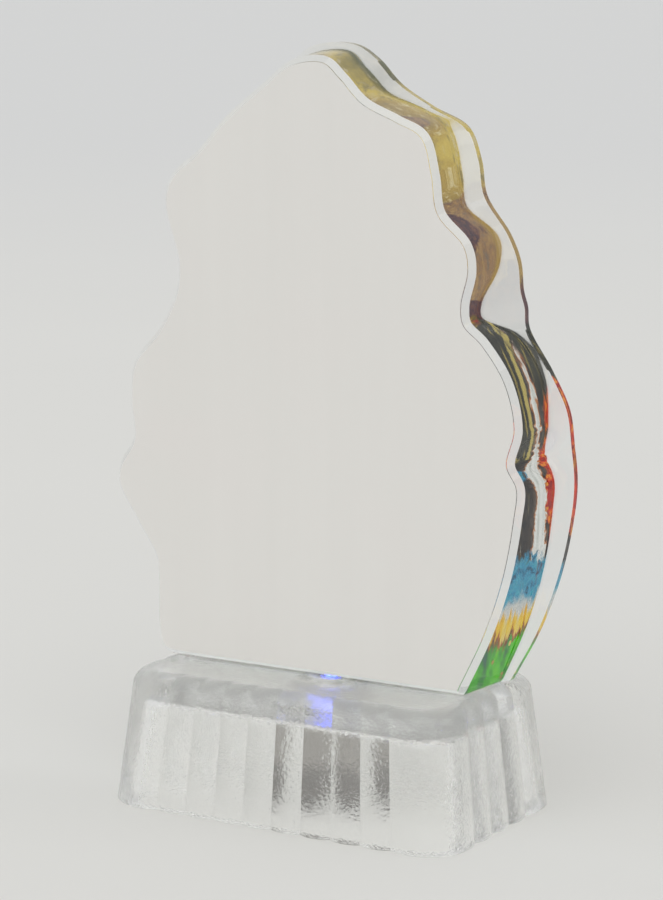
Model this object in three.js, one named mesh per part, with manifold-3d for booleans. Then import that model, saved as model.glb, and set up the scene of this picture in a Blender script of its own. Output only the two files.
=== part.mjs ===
// Illuminated glass picture frame: a thick clear plaque with a wavy edge carries a picture on its
// rear face, and stands on a hollow fluted base of clear plastic with a battery light unit inside.
// Millimetres, +Z up. The picture is looked at from -Y, its white backing faces +Y, and the origin
// is the middle of the base's underside.

import * as THREE from "three";
import { mergeVertices } from "three/addons/utils/BufferGeometryUtils.js";
import Module from "manifold-3d";

const wasm = await Module();
wasm.setup();
const { Manifold, Mesh: SolidMesh } = wasm;

// Clear base
const BASE_WIDTH = 95;
const BASE_DEPTH = 58.4;
const BASE_HEIGHT = 32.8;
const BASE_DRAFT = 3.7;
const BASE_CORNER_RADIUS = 10;
const BASE_TOP_RADIUS = 3.5;
const BASE_FOOT_CHAMFER = 0.8;
const BASE_WALL = 5;
const CAVITY_CORNER_RADIUS = 6;
const CAVITY_TOP_RADIUS = 1.6;

// Flutes round the base, with a short flat run between each corner and the first flute
const LONG_SIDE_FLUTES = 8;
const SHORT_SIDE_FLUTES = 3;
const LONG_SIDE_FLAT = 1.1;
const SHORT_SIDE_FLAT = 2.2;
const FLUTE_DEPTH = 1.15;
const FLUTE_STEPS = 6;
const BASE_CORNER_STEPS = 8;
const BASE_TOP_STEPS = 5;
const CAVITY_TOP_STEPS = 3;

// Glass plaque. It is a wedge: thickest where it stands, thinnest at the top. Its side wall is steep
// behind, then splays out to a narrow rim round the larger front face
const PLAQUE_REAR_Y = 7;
const PLAQUE_FOOT_THICKNESS = 20.4;
const PLAQUE_TAPER = 0.035;
const REAR_BEVEL = 1.4;
const WALL_DRAFT = 0.09;
const RIM_DEPTH = 2.2;
const FRONT_CHAMFER = 0.4;
const PICTURE_FOOT_GAP = 1.05;
const SIDE_STEPS = 156;
const FOOT_STEPS = 20;
const GLUE_THICKNESS = 0.15;
const GLUE_INSET = 1.5;

// Picture and its white backing, bonded to the rear face inside the bevel
const PRINT_THICKNESS = 0.15;
const BACKING_THICKNESS = 0.2;
const FILM_INSET = 0.2;

// Edge of the picture seen from the front, from the right foot up, over the top and down to the
// left foot. Each row has x and height on the picture's edge, then x and height on the edge of the
// glass's front face, all as percentages of the picture's height. The front face is larger and
// smoother, so it stands out most at the picture's hollows. Last comes how far down the side wall
// stays steep, as a percentage of the wall's depth.
const PICTURE_HEIGHT = 143.3;
const PICTURE_EDGE = [
  [26.4, 0, 28.2, -0.8, 89],
  [30.1, 0.6, 32.5, 0.3, 86],
  [31.1, 3.7, 33.8, 3.2, 88],
  [31.2, 9.8, 34.2, 9.4, 82],
  [31.5, 15.8, 35, 15.2, 72],
  [35.3, 21.9, 38.4, 20.8, 76],
  [39.1, 28.3, 42.1, 28.1, 80],
  [38.7, 31.2, 41.9, 31.4, 75],
  [35.9, 36, 39.6, 36.6, 65],
  [36.4, 42.6, 39.5, 42.9, 76],
  [35.6, 48.9, 38.4, 49.8, 79],
  [30.6, 54.7, 33.6, 56.3, 68],
  [27.1, 61.2, 30.9, 61.9, 58],
  [26.5, 66.5, 30.6, 66.6, 52],
  [29.1, 76.6, 32.1, 77.1, 72],
  [27.8, 80.7, 30.5, 82, 72],
  [22.5, 85, 25.1, 87.2, 62],
  [17.3, 90.4, 19.3, 92.6, 71],
  [10, 96.1, 11.9, 98.7, 64],
  [4.7, 99.9, 5.9, 102.8, 65],
  [-1.3, 100.5, -1.9, 103.1, 77],
  [-4.4, 98.1, -6, 100.8, 65],
  [-8.5, 94.2, -10, 96.9, 68],
  [-14.6, 91.5, -15.8, 93.5, 86],
  [-19.4, 89.1, -22.3, 90.3, 67],
  [-21.3, 83.3, -24.5, 85.2, 68],
  [-22.4, 77.2, -25.5, 79.4, 64],
  [-27.2, 72.2, -29.7, 73.4, 79],
  [-28, 68.4, -31.5, 69.1, 62],
  [-26.8, 62.9, -32, 64.3, 29],
  [-27.2, 59.8, -32.7, 61.8, 30],
  [-30.5, 56.8, -33, 58.4, 77],
  [-34.7, 50.9, -37.1, 51.7, 87],
  [-36.5, 43.6, -40.2, 45.5, 74],
  [-35.2, 37.8, -41, 39.8, 92],
  [-37, 34.2, -41.5, 34.3, 86],
  [-36.6, 29.3, -41.1, 29.2, 88],
  [-34.8, 19.7, -38.8, 18.8, 90],
  [-31.6, 10.2, -34.9, 8.7, 92],
  [-26.7, 0, -29.4, -1.1, 94],
];

// Battery light unit
const UNIT_SIDE = 14.4;
const UNIT_WALL = 0.9;
const UNIT_FOOT_GAP = 2;
const UNIT_CORNER_RADIUS = 1;
const BAY_ROOF_RISE = 1.6;
const COLLAR_RADIUS = 3.5;
const COLLAR_HEIGHT = 1.6;
const POCKET_RADIUS = 6.2;
const TAPE_THICKNESS = 0.8;
const TAPE_INSET = 0.2;

// Light-emitting diode on its board
const LED_RADIUS = 2.5;
const LED_FLANGE_RADIUS = 2.9;
const LED_FLANGE_HEIGHT = 1;
const LED_HEIGHT = 8.6;
const LED_HOLE_CLEARANCE = 0.2;
const LED_TOP_CLEARANCE = 0.4;
const LED_DOME_STEPS = 7;
const LEAD_SIDE = 0.5;
const LEAD_PITCH = 2.54;
const LEAD_TAIL = 1.4;
const BOARD_SIDE = 11.8;
const BOARD_THICKNESS = 1;
const BOARD_DROP = 2.9;
const BOARD_RISE = 7.2;
const BOARD_POST_SIDE = 2.2;
const RESISTOR_RADIUS = 0.8;
const RESISTOR_LENGTH = 3.2;
const RESISTOR_DROP = 0.7;
const RESISTOR_WAIST = 0.85;
const RESISTOR_SWELL = [0.85, 0.5, 0.4];

// Button cells, side by side on one axis along X
const CELL_COUNT = 3;
const CELL_RADIUS = 3.95;
const CELL_THICKNESS = 3.6;
const CELL_CAP_RADIUS = 3.1;
const CELL_CAP_HEIGHT = 0.3;
const CELL_RIM = 0.25;
const CELL_CLEARANCE = 0.3;
const DIVIDER_WALL = 0.7;
const CONTACT_THICKNESS = 0.4;
const CONTACT_WIDTH = 4.8;
const CONTACT_TAIL_WIDTH = 1.6;
const CONTACT_CLEARANCE = 0.1;
const SPRING_WIRE = 0.4;
const SPRING_TURNS = 3;
const SPRING_OUTER_RADIUS = 2.8;
const SPRING_INNER_RADIUS = 1;
const SPRING_SIDES = 5;
const SPRING_STEPS_PER_TURN = 8;

// Sliding battery door, held by dovetailed edges
const DOOR_THICKNESS = 1;
const DOVETAIL = 0.5;
const DOOR_CLEARANCE = 0.2;
const DOOR_RIB_HEIGHT = 0.5;
const DOOR_RIB_WIDTH = 0.7;
const DOOR_RIBS = 3;

// Slide switch
const SWITCH_LENGTH = 6.8;
const SWITCH_WIDTH = 2.8;
const SWITCH_HEIGHT = 2.4;
const SWITCH_TRAVEL = 2;
const KNOB_LENGTH = 1.6;
const KNOB_WIDTH = 1.1;
const KNOB_FLANGE_WIDTH = 1.9;
const KNOB_FLANGE_HEIGHT = 0.5;
const KNOB_REACH = 1.1;
const KNOB_CLEARANCE = 0.2;
const PIN_SIDE = 0.5;
const PIN_HEIGHT = 1.2;
const WIRE_RADIUS = 0.45;
const WIRE_BOW = 0.8;
const WIRE_GAP = 0.25;
const WIRE_MARKS = [0, 0.12, 0.5, 0.88, 1];
const WIRE_SIDES = 8;
const WIRE_STEPS = 10;

// Heights and places that follow from the sizes above. The cells and the board set the light unit's
// height, the unit sets the hollow's, and the rest of the base's height is its solid top
const UNIT_INSIDE = UNIT_SIDE / 2 - UNIT_WALL;
const FLOOR_TOP_Z = UNIT_FOOT_GAP + DOOR_THICKNESS;
const CELL_Z = FLOOR_TOP_Z + CELL_CLEARANCE + CELL_RADIUS;
const CELL_TOP_Z = CELL_Z + CELL_RADIUS;
const CELL_Y = -UNIT_INSIDE + CELL_CLEARANCE + CELL_RADIUS;
const BAY_REAR_Y = CELL_Y + CELL_RADIUS + CELL_CLEARANCE;
const BAY_ROOF_Z = CELL_TOP_Z + CELL_CLEARANCE + DIVIDER_WALL;
const SPLIT_Z = BAY_ROOF_Z - BAY_ROOF_RISE;
const BOARD_FOOT_Z = BAY_ROOF_Z + BOARD_RISE;
const RESISTOR_Z = BOARD_FOOT_Z - RESISTOR_DROP - RESISTOR_RADIUS;
const BOARD_TOP_Z = BOARD_FOOT_Z + BOARD_THICKNESS;
const UNIT_TOP_Z = BOARD_TOP_Z + BOARD_DROP + UNIT_WALL;
const CEILING_Z = UNIT_TOP_Z + TAPE_THICKNESS;
const COLLAR_TOP_Z = CEILING_Z + COLLAR_HEIGHT;
const LED_TOP_Z = BOARD_TOP_Z + LED_HEIGHT;
const POCKET_TOP_Z = LED_TOP_Z + LED_TOP_CLEARANCE;
const PLAQUE_FOOT_Z = BASE_HEIGHT + GLUE_THICKNESS;
const PICTURE_FOOT_Z = PLAQUE_FOOT_Z + PICTURE_FOOT_GAP;
const SWITCH_Y = (BAY_REAR_Y + DIVIDER_WALL + UNIT_INSIDE) / 2;
const POSITIVE_END_X = UNIT_INSIDE - CONTACT_CLEARANCE - CONTACT_THICKNESS;
const NEGATIVE_END_X = POSITIVE_END_X - CELL_COUNT * CELL_THICKNESS;

// Finishes
const CLEAR_GLASS = { color: 0xe6efee, roughness: 0.03, metalness: 0, transparent: true, opacity: 0.35 };
const CLEAR_PLASTIC = { color: 0xe4e7e6, roughness: 0.12, metalness: 0, transparent: true, opacity: 0.4 };
const CLEAR_GLUE = { color: 0xe8e8e2, roughness: 0.3, metalness: 0, transparent: true, opacity: 0.5 };
const PICTURE_INK = { color: 0x5c7a3c, roughness: 0.4, metalness: 0 };
const WHITE_FILM = { color: 0xd7d5cf, roughness: 0.45, metalness: 0 };
const FOAM_TAPE = { color: 0xe9e7e1, roughness: 0.8, metalness: 0 };
const GREY_ABS = { color: 0x8a867f, roughness: 0.5, metalness: 0 };
const DARK_ABS = { color: 0x57524b, roughness: 0.55, metalness: 0 };
const BOARD_GREEN = { color: 0x2c5a36, roughness: 0.5, metalness: 0 };
const BLUE_EPOXY = { color: 0x9db4ff, roughness: 0.1, metalness: 0, transparent: true, opacity: 0.6 };
const TINNED_STEEL = { color: 0xb9b9b6, roughness: 0.3, metalness: 1 };
const CELL_STEEL = { color: 0xc9c8c4, roughness: 0.22, metalness: 1 };
const RESISTOR_BEIGE = { color: 0xc9ad80, roughness: 0.6, metalness: 0 };
const BLACK_PLASTIC = { color: 0x1c1c1e, roughness: 0.45, metalness: 0 };
const RED_WIRE = { color: 0xb3261e, roughness: 0.5, metalness: 0 };
const BLACK_WIRE = { color: 0x222222, roughness: 0.5, metalness: 0 };

const WELD = 1e-4;
const OVERSHOOT = 1;
const ROUND_STEPS = 40;
const SMALL_ROUND_STEPS = 16;
const PLATE_CORNER_STEPS = 6;

// A three.js geometry as a solid that can be cut and joined.
function solidOf(geometry) {
  const bare = geometry.clone();
  bare.deleteAttribute("normal");
  bare.deleteAttribute("uv");
  const merged = mergeVertices(bare, WELD);
  return new Manifold(
    new SolidMesh({
      numProp: 3,
      vertProperties: new Float32Array(merged.attributes.position.array),
      triVerts: new Uint32Array(merged.index.array),
    }),
  );
}

// A solid as a three.js geometry again.
function geometryOf(solid) {
  const { vertProperties, triVerts } = solid.getMesh();
  const geometry = new THREE.BufferGeometry();
  geometry.setAttribute("position", new THREE.BufferAttribute(vertProperties, 3));
  geometry.setIndex(new THREE.BufferAttribute(triVerts, 1));
  geometry.computeVertexNormals();
  return geometry;
}

function cut(body, ...tools) {
  return geometryOf(tools.reduce((rest, tool) => rest.subtract(solidOf(tool)), solidOf(body)));
}

function join(...parts) {
  return geometryOf(parts.map(solidOf).reduce((whole, part) => whole.add(part)));
}

// A block given by its lowest and highest corners.
function block(low, high) {
  const size = high.map((value, axis) => value - low[axis]);
  const middle = high.map((value, axis) => (value + low[axis]) / 2);
  return new THREE.BoxGeometry(...size).translate(...middle);
}

// A body turned about a vertical axis at (x, y), from profile points of radius and height.
function turned(profile, x = 0, y = 0, segments = ROUND_STEPS) {
  const points = profile.map(([radius, height]) => new THREE.Vector2(radius, height));
  return new THREE.LatheGeometry(points, segments).rotateX(Math.PI / 2).translate(x, y, 0);
}

function upright(radius, lowZ, highZ, x = 0, y = 0, segments = ROUND_STEPS) {
  return turned([[0, lowZ], [radius, lowZ], [radius, highZ], [0, highZ]], x, y, segments);
}

// Skins a stack of rings of equal length and closes both ends. Seen from the last ring's end, each
// ring runs anticlockwise. The flatten function gives the plane in which the ends are closed.
function loft(rings, flatten) {
  const count = rings[0].length;
  const index = [];
  for (let ring = 0; ring + 1 < rings.length; ring += 1) {
    for (let i = 0; i < count; i += 1) {
      const here = ring * count + i;
      const next = ring * count + ((i + 1) % count);
      index.push(here, next, next + count, here, next + count, here + count);
    }
  }
  const last = (rings.length - 1) * count;
  for (const [a, b, c] of THREE.ShapeUtils.triangulateShape(rings[0].map(flatten), [])) {
    index.push(c, b, a);
  }
  for (const [a, b, c] of THREE.ShapeUtils.triangulateShape(rings.at(-1).map(flatten), [])) {
    index.push(last + a, last + b, last + c);
  }
  const geometry = new THREE.BufferGeometry();
  const values = rings.flat().flatMap((point) => [point.x, point.y, point.z]);
  geometry.setAttribute("position", new THREE.Float32BufferAttribute(values, 3));
  geometry.setIndex(index);
  return geometry;
}

const fromAbove = (point) => new THREE.Vector2(point.x, point.y);
const fromFront = (point) => new THREE.Vector2(point.x, point.z);

// An upright plate with rounded corners.
function roundedPlate(halfX, halfY, radius, lowZ, highZ) {
  const rings = [lowZ, highZ].map((z) => roundedRing(halfX, halfY, radius, z));
  return loft(rings, fromAbove);
}

function roundedRing(halfX, halfY, radius, z) {
  const ring = [];
  const steps = PLATE_CORNER_STEPS;
  for (let corner = 0; corner < 4; corner += 1) {
    const signX = corner === 0 || corner === 3 ? 1 : -1;
    const signY = corner < 2 ? 1 : -1;
    for (let step = 0; step <= steps; step += 1) {
      const angle = (corner + step / steps) * (Math.PI / 2);
      const x = signX * (halfX - radius) + radius * Math.cos(angle);
      const y = signY * (halfY - radius) + radius * Math.sin(angle);
      ring.push(new THREE.Vector3(x, y, z));
    }
  }
  return ring;
}

// One fluted side of the base, as distances along it and out from the middle: whole flutes with
// half a flute at each end, whose crowns touch the side's outer face.
function flutedSide(length, flat, flutes, face) {
  const pitch = (length - 2 * (BASE_CORNER_RADIUS + flat)) / (flutes + 1);
  const points = [];
  for (let step = -FLUTE_STEPS / 2; step <= (flutes + 0.5) * FLUTE_STEPS; step += 1) {
    const turn = step / FLUTE_STEPS;
    const offCrown = 2 * (turn - Math.floor(turn)) - 1;
    points.push([(turn - flutes / 2) * pitch, face - FLUTE_DEPTH * offCrown ** 2]);
  }
  return points;
}

// The base's outline at its underside, anticlockwise from above.
function baseOutline() {
  const halfX = BASE_WIDTH / 2;
  const halfY = BASE_DEPTH / 2;
  const long = flutedSide(BASE_WIDTH, LONG_SIDE_FLAT, LONG_SIDE_FLUTES, halfY);
  const short = flutedSide(BASE_DEPTH, SHORT_SIDE_FLAT, SHORT_SIDE_FLUTES, halfX);
  const steps = BASE_CORNER_STEPS;
  const corner = (signX, signY, start) =>
    Array.from({ length: steps + 1 }, (_, step) => {
      const angle = start + (step / steps) * (Math.PI / 2);
      const x = signX * (halfX - BASE_CORNER_RADIUS) + BASE_CORNER_RADIUS * Math.cos(angle);
      const y = signY * (halfY - BASE_CORNER_RADIUS) + BASE_CORNER_RADIUS * Math.sin(angle);
      return [x, y];
    });
  return [
    ...short.map(([along, out]) => [out, along]),
    ...corner(1, 1, 0),
    ...long.map(([along, out]) => [-along, out]),
    ...corner(-1, 1, Math.PI / 2),
    ...short.map(([along, out]) => [-out, -along]),
    ...corner(-1, -1, Math.PI),
    ...long.map(([along, out]) => [along, -out]),
    ...corner(1, -1, 1.5 * Math.PI),
  ];
}

function draftAt(z) {
  return (BASE_DRAFT * z) / BASE_HEIGHT;
}

// The outline drawn in by the draft at height z and by a further inset.
function baseRing(outline, z, inset) {
  const scaleX = 1 - (2 * (draftAt(z) + inset)) / BASE_WIDTH;
  const scaleY = 1 - (2 * (draftAt(z) + inset)) / BASE_DEPTH;
  return outline.map(([x, y]) => new THREE.Vector3(x * scaleX, y * scaleY, z));
}

function baseBody() {
  const outline = baseOutline();
  const rings = [
    baseRing(outline, 0, BASE_FOOT_CHAMFER),
    baseRing(outline, BASE_FOOT_CHAMFER, 0),
  ];
  const steps = BASE_TOP_STEPS;
  for (let step = 0; step <= steps; step += 1) {
    const angle = (step / steps) * (Math.PI / 2);
    const z = BASE_HEIGHT - BASE_TOP_RADIUS * (1 - Math.sin(angle));
    rings.push(baseRing(outline, z, BASE_TOP_RADIUS * (1 - Math.cos(angle))));
  }
  return loft(rings, fromAbove);
}

function cavityRing(z, inset) {
  const halfX = BASE_WIDTH / 2 - BASE_WALL - draftAt(z) - inset;
  const halfY = BASE_DEPTH / 2 - BASE_WALL - draftAt(z) - inset;
  return roundedRing(halfX, halfY, CAVITY_CORNER_RADIUS, z);
}

function baseCavity() {
  const rings = [cavityRing(-OVERSHOOT, 0)];
  const steps = CAVITY_TOP_STEPS;
  for (let step = 0; step <= steps; step += 1) {
    const angle = (step / steps) * (Math.PI / 2);
    const z = CEILING_Z - CAVITY_TOP_RADIUS * (1 - Math.sin(angle));
    rings.push(cavityRing(z, CAVITY_TOP_RADIUS * (1 - Math.cos(angle))));
  }
  return loft(rings, fromAbove);
}

function baseShell() {
  const pocket = upright(POCKET_RADIUS, CEILING_Z - OVERSHOOT, POCKET_TOP_Z);
  return cut(baseBody(), baseCavity(), pocket);
}

// A closed outline through marks: a smooth curve up one side, over the top and down the other, then
// the straight foot. Each point has its outward direction.
function plaqueOutline(marks) {
  const scale = PICTURE_HEIGHT / 100;
  const along = marks.map(([x, z, steep]) => new THREE.Vector3(x * scale, z * scale, steep / 100));
  const wavy = new THREE.CatmullRomCurve3(along).getPoints(SIDE_STEPS);
  const foot = new THREE.LineCurve3(wavy.at(-1), wavy[0]).getPoints(FOOT_STEPS).slice(1, -1);
  const points = [...wavy, ...foot];
  return points.map((point, i) => {
    const next = points[(i + 1) % points.length];
    const before = points.at(i - 1);
    const run = new THREE.Vector2(next.x - before.x, next.y - before.y).normalize();
    return { x: point.x, z: PICTURE_FOOT_Z + point.y, outX: run.y, outZ: -run.x, steep: point.z };
  });
}

const edge = plaqueOutline(PICTURE_EDGE.map(([x, z, , , steep]) => [x, z, steep]));
const frontEdge = plaqueOutline(PICTURE_EDGE.map(([, , x, z, steep]) => [x, z, steep]));

// The glass's front face leans back, so its depth changes with height.
function frontFaceY(z) {
  return PLAQUE_REAR_Y - PLAQUE_FOOT_THICKNESS + PLAQUE_TAPER * (z - PLAQUE_FOOT_Z);
}

// A ring round the plaque: outside the outline by outset, and ground flat at the foot.
function plaqueRing(outline, outset, depth) {
  return outline.map((point) => {
    const z = Math.max(PLAQUE_FOOT_Z, point.z + point.outZ * outset);
    return new THREE.Vector3(point.x + point.outX * outset, depth(z), z);
  });
}

// The crease where the steep side wall starts to splay towards the rim.
function creaseRing(behind, rim) {
  return behind.map((point, i) => {
    const deep = point.y - rim[i].y;
    const away = Math.hypot(rim[i].x - point.x, rim[i].z - point.z);
    const steep = edge[i].steep * deep;
    const part = Math.min((WALL_DRAFT * steep) / Math.max(away, 0.01), edge[i].steep);
    const crease = point.clone().lerp(rim[i], part);
    crease.y = point.y - steep;
    return crease;
  });
}

function glassPlaque() {
  const rimDepth = (z) => frontFaceY(z) + RIM_DEPTH;
  const chamferDepth = (z) => frontFaceY(z) + FRONT_CHAMFER;
  const behind = plaqueRing(edge, REAR_BEVEL, () => PLAQUE_REAR_Y - REAR_BEVEL);
  const rim = plaqueRing(frontEdge, 0, rimDepth);
  const rings = [
    plaqueRing(edge, 0, () => PLAQUE_REAR_Y),
    behind,
    creaseRing(behind, rim),
    rim,
    plaqueRing(frontEdge, 0, chamferDepth),
    plaqueRing(frontEdge, -FRONT_CHAMFER, frontFaceY),
  ];
  return loft(rings, fromFront);
}

// A sheet of film on the plaque's rear side, between two depths.
function rearFilm(nearY, farY) {
  const rings = [farY, nearY].map((y) => plaqueRing(edge, -FILM_INSET, () => y));
  return loft(rings, fromFront);
}

function plaqueGlue() {
  const [low, high] = [edge[SIDE_STEPS].x, edge[0].x];
  const frontY = frontFaceY(PLAQUE_FOOT_Z) + GLUE_INSET;
  const rearY = PLAQUE_REAR_Y - REAR_BEVEL - GLUE_INSET;
  return block([low + GLUE_INSET, frontY, BASE_HEIGHT], [high - GLUE_INSET, rearY, PLAQUE_FOOT_Z]);
}

// Upper housing of the light unit: a square cup, open below, with a collar round the bulb.
function unitCaseTop() {
  const half = UNIT_SIDE / 2;
  const roofZ = UNIT_TOP_Z - UNIT_WALL;
  const shell = roundedPlate(half, half, UNIT_CORNER_RADIUS, SPLIT_Z, UNIT_TOP_Z);
  const inside = block(
    [-UNIT_INSIDE, -UNIT_INSIDE, SPLIT_Z - OVERSHOOT],
    [UNIT_INSIDE, UNIT_INSIDE, roofZ],
  );
  const collar = upright(COLLAR_RADIUS, roofZ + UNIT_WALL / 2, COLLAR_TOP_Z);
  const bore = LED_RADIUS + LED_HOLE_CLEARANCE;
  const ledHole = upright(bore, roofZ - OVERSHOOT, COLLAR_TOP_Z + OVERSHOOT);
  const cup = cut(join(shell, collar), inside, ledHole);
  return join(cup, ...boardPosts(roofZ));
}

// Four posts under the roof that the board is pressed against.
function boardPosts(roofZ) {
  const reach = UNIT_INSIDE + UNIT_WALL / 2;
  const posts = [];
  for (const sideX of [-1, 1]) {
    for (const sideY of [-1, 1]) {
      const x = [sideX * reach, sideX * (reach - BOARD_POST_SIDE)].sort((a, b) => a - b);
      const y = [sideY * reach, sideY * (reach - BOARD_POST_SIDE)].sort((a, b) => a - b);
      posts.push(block([x[0], y[0], BOARD_TOP_Z], [x[1], y[1], roofZ + UNIT_WALL / 2]));
    }
  }
  return posts;
}

// A bar along X with dovetailed edges, narrow below and wide above.
function dovetailBar(lowX, highX, frontY, rearY, grow) {
  const shape = new THREE.Shape([
    new THREE.Vector2(frontY + DOVETAIL - grow, UNIT_FOOT_GAP),
    new THREE.Vector2(rearY - DOVETAIL + grow, UNIT_FOOT_GAP),
    new THREE.Vector2(rearY + grow, FLOOR_TOP_Z),
    new THREE.Vector2(frontY - grow, FLOOR_TOP_Z),
  ]);
  const bar = new THREE.ExtrudeGeometry(shape, { depth: highX - lowX, bevelEnabled: false });
  return bar.rotateZ(Math.PI / 2).rotateY(Math.PI / 2).translate(lowX, 0, 0);
}

const doorFrontY = -UNIT_INSIDE;
const doorRearY = BAY_REAR_Y;

// Lower housing: the cells' bay with its roof, the switch's bay beside it, and the door's groove.
function batteryBox() {
  const half = UNIT_SIDE / 2;
  const outer = roundedPlate(half, half, UNIT_CORNER_RADIUS, UNIT_FOOT_GAP, SPLIT_Z);
  const roofLowZ = BAY_ROOF_Z - DIVIDER_WALL;
  const lip = UNIT_INSIDE - 2 * CELL_CLEARANCE;
  const bayRoof = block(
    [-lip, -UNIT_INSIDE + CELL_CLEARANCE, SPLIT_Z - OVERSHOOT],
    [lip, BAY_REAR_Y + DIVIDER_WALL / 2, BAY_ROOF_Z],
  );
  const cellBay = block(
    [-UNIT_INSIDE, -UNIT_INSIDE, FLOOR_TOP_Z - OVERSHOOT / 2],
    [UNIT_INSIDE, BAY_REAR_Y, SPLIT_Z + OVERSHOOT],
  );
  const roofTunnel = block(
    [-UNIT_INSIDE, -UNIT_INSIDE + CELL_CLEARANCE + DIVIDER_WALL, SPLIT_Z - OVERSHOOT],
    [UNIT_INSIDE, BAY_REAR_Y - DIVIDER_WALL, roofLowZ],
  );
  const switchBay = block(
    [-UNIT_INSIDE, BAY_REAR_Y + DIVIDER_WALL, FLOOR_TOP_Z],
    [UNIT_INSIDE, UNIT_INSIDE, SPLIT_Z + OVERSHOOT],
  );
  const grooveLowX = -UNIT_INSIDE - DOOR_CLEARANCE;
  const groove = dovetailBar(grooveLowX, half + OVERSHOOT, doorFrontY, doorRearY, DOOR_CLEARANCE);
  const box = cut(outer, cellBay);
  return cut(join(box, bayRoof), roofTunnel, switchBay, groove, knobSlot());
}

// The slot in the unit's floor, which leaves the knob its travel.
function knobSlot() {
  const reachX = (KNOB_LENGTH + SWITCH_TRAVEL) / 2 + KNOB_CLEARANCE;
  const reachY = KNOB_WIDTH / 2 + KNOB_CLEARANCE;
  return block(
    [-reachX, SWITCH_Y - reachY, UNIT_FOOT_GAP - OVERSHOOT],
    [reachX, SWITCH_Y + reachY, FLOOR_TOP_Z + OVERSHOOT],
  );
}

function batteryDoor() {
  const half = UNIT_SIDE / 2;
  const plate = dovetailBar(-UNIT_INSIDE, half, doorFrontY, doorRearY, 0);
  const ribs = Array.from({ length: DOOR_RIBS }, (_, i) => {
    const x = half - (2 * i + 2) * DOOR_RIB_WIDTH;
    return block(
      [x - DOOR_RIB_WIDTH, doorFrontY + 2 * DOVETAIL, UNIT_FOOT_GAP - DOOR_RIB_HEIGHT],
      [x, doorRearY - 2 * DOVETAIL, UNIT_FOOT_GAP + DOOR_RIB_HEIGHT],
    );
  });
  return join(plate, ...ribs);
}

// Ring of foam tape between the unit's shoulder and the base's ceiling.
function mountingTape() {
  const half = UNIT_SIDE / 2 - TAPE_INSET;
  const sheet = roundedPlate(half, half, UNIT_CORNER_RADIUS, UNIT_TOP_Z, CEILING_Z);
  const hole = upright(POCKET_RADIUS, UNIT_TOP_Z - OVERSHOOT, CEILING_Z + OVERSHOOT);
  return cut(sheet, hole);
}

function ledBulb() {
  const profile = [[0, 0], [LED_FLANGE_RADIUS, 0], [LED_FLANGE_RADIUS, LED_FLANGE_HEIGHT]];
  const steps = LED_DOME_STEPS;
  for (let step = 0; step <= steps; step += 1) {
    const angle = (step / steps) * (Math.PI / 2);
    const height = LED_HEIGHT - LED_RADIUS + LED_RADIUS * Math.sin(angle);
    profile.push([step === steps ? 0 : LED_RADIUS * Math.cos(angle), height]);
  }
  profile.splice(3, 0, [LED_RADIUS, LED_FLANGE_HEIGHT]);
  return turned(profile);
}

function lead(side, tail) {
  const x = (side * LEAD_PITCH) / 2;
  const half = LEAD_SIDE / 2;
  return block([x - half, -half, BOARD_FOOT_Z - tail], [x + half, half, BOARD_TOP_Z]);
}

function circuitBoard() {
  const half = BOARD_SIDE / 2;
  const sheet = block([-half, -half, BOARD_FOOT_Z], [half, half, BOARD_TOP_Z]);
  const holes = [-1, 1].map((side) =>
    upright(
      LEAD_SIDE / 2 + 2 * LED_HOLE_CLEARANCE,
      BOARD_FOOT_Z - OVERSHOOT,
      BOARD_TOP_Z + OVERSHOOT,
      (side * LEAD_PITCH) / 2,
      0,
      SMALL_ROUND_STEPS,
    ),
  );
  return cut(sheet, ...holes);
}

// Resistor under the board: a body with swollen ends, and two legs up to the board.
function resistor() {
  const half = RESISTOR_LENGTH / 2;
  const waist = RESISTOR_WAIST * RESISTOR_RADIUS;
  const [shoulder, swell, neck] = RESISTOR_SWELL.map((share) => share * half);
  const profile = [
    [0, -half],
    [RESISTOR_RADIUS, -shoulder],
    [RESISTOR_RADIUS, -swell],
    [waist, -neck],
    [waist, neck],
    [RESISTOR_RADIUS, swell],
    [RESISTOR_RADIUS, shoulder],
    [0, half],
  ];
  const body = turned(profile, 0, 0, SMALL_ROUND_STEPS).rotateY(Math.PI / 2);
  const top = RESISTOR_RADIUS + RESISTOR_DROP;
  const legs = [-1, 1].map((side) => {
    const x = side * (half + LEAD_SIDE / 2);
    const inner = x - side * LEAD_SIDE;
    const wire = LEAD_SIDE / 2;
    const [near, far] = [Math.min(x, inner) - wire, Math.max(x, inner) + wire];
    const foot = block([near, -wire, -wire], [far, wire, wire]);
    const leg = block([x - wire, -wire, -wire], [x + wire, wire, top]);
    return join(foot, leg);
  });
  return join(body, ...legs);
}

// A button cell whose axis runs along X: the can's flat face at the origin, the cap towards -X.
function buttonCell() {
  const canHeight = CELL_THICKNESS - CELL_CAP_HEIGHT;
  const profile = [
    [0, 0],
    [CELL_RADIUS - CELL_RIM, 0],
    [CELL_RADIUS, CELL_RIM],
    [CELL_RADIUS, canHeight - CELL_RIM],
    [CELL_RADIUS - CELL_RIM, canHeight],
    [CELL_CAP_RADIUS, canHeight],
    [CELL_CAP_RADIUS, CELL_THICKNESS],
    [0, CELL_THICKNESS],
  ];
  return turned(profile).rotateY(-Math.PI / 2);
}

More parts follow.
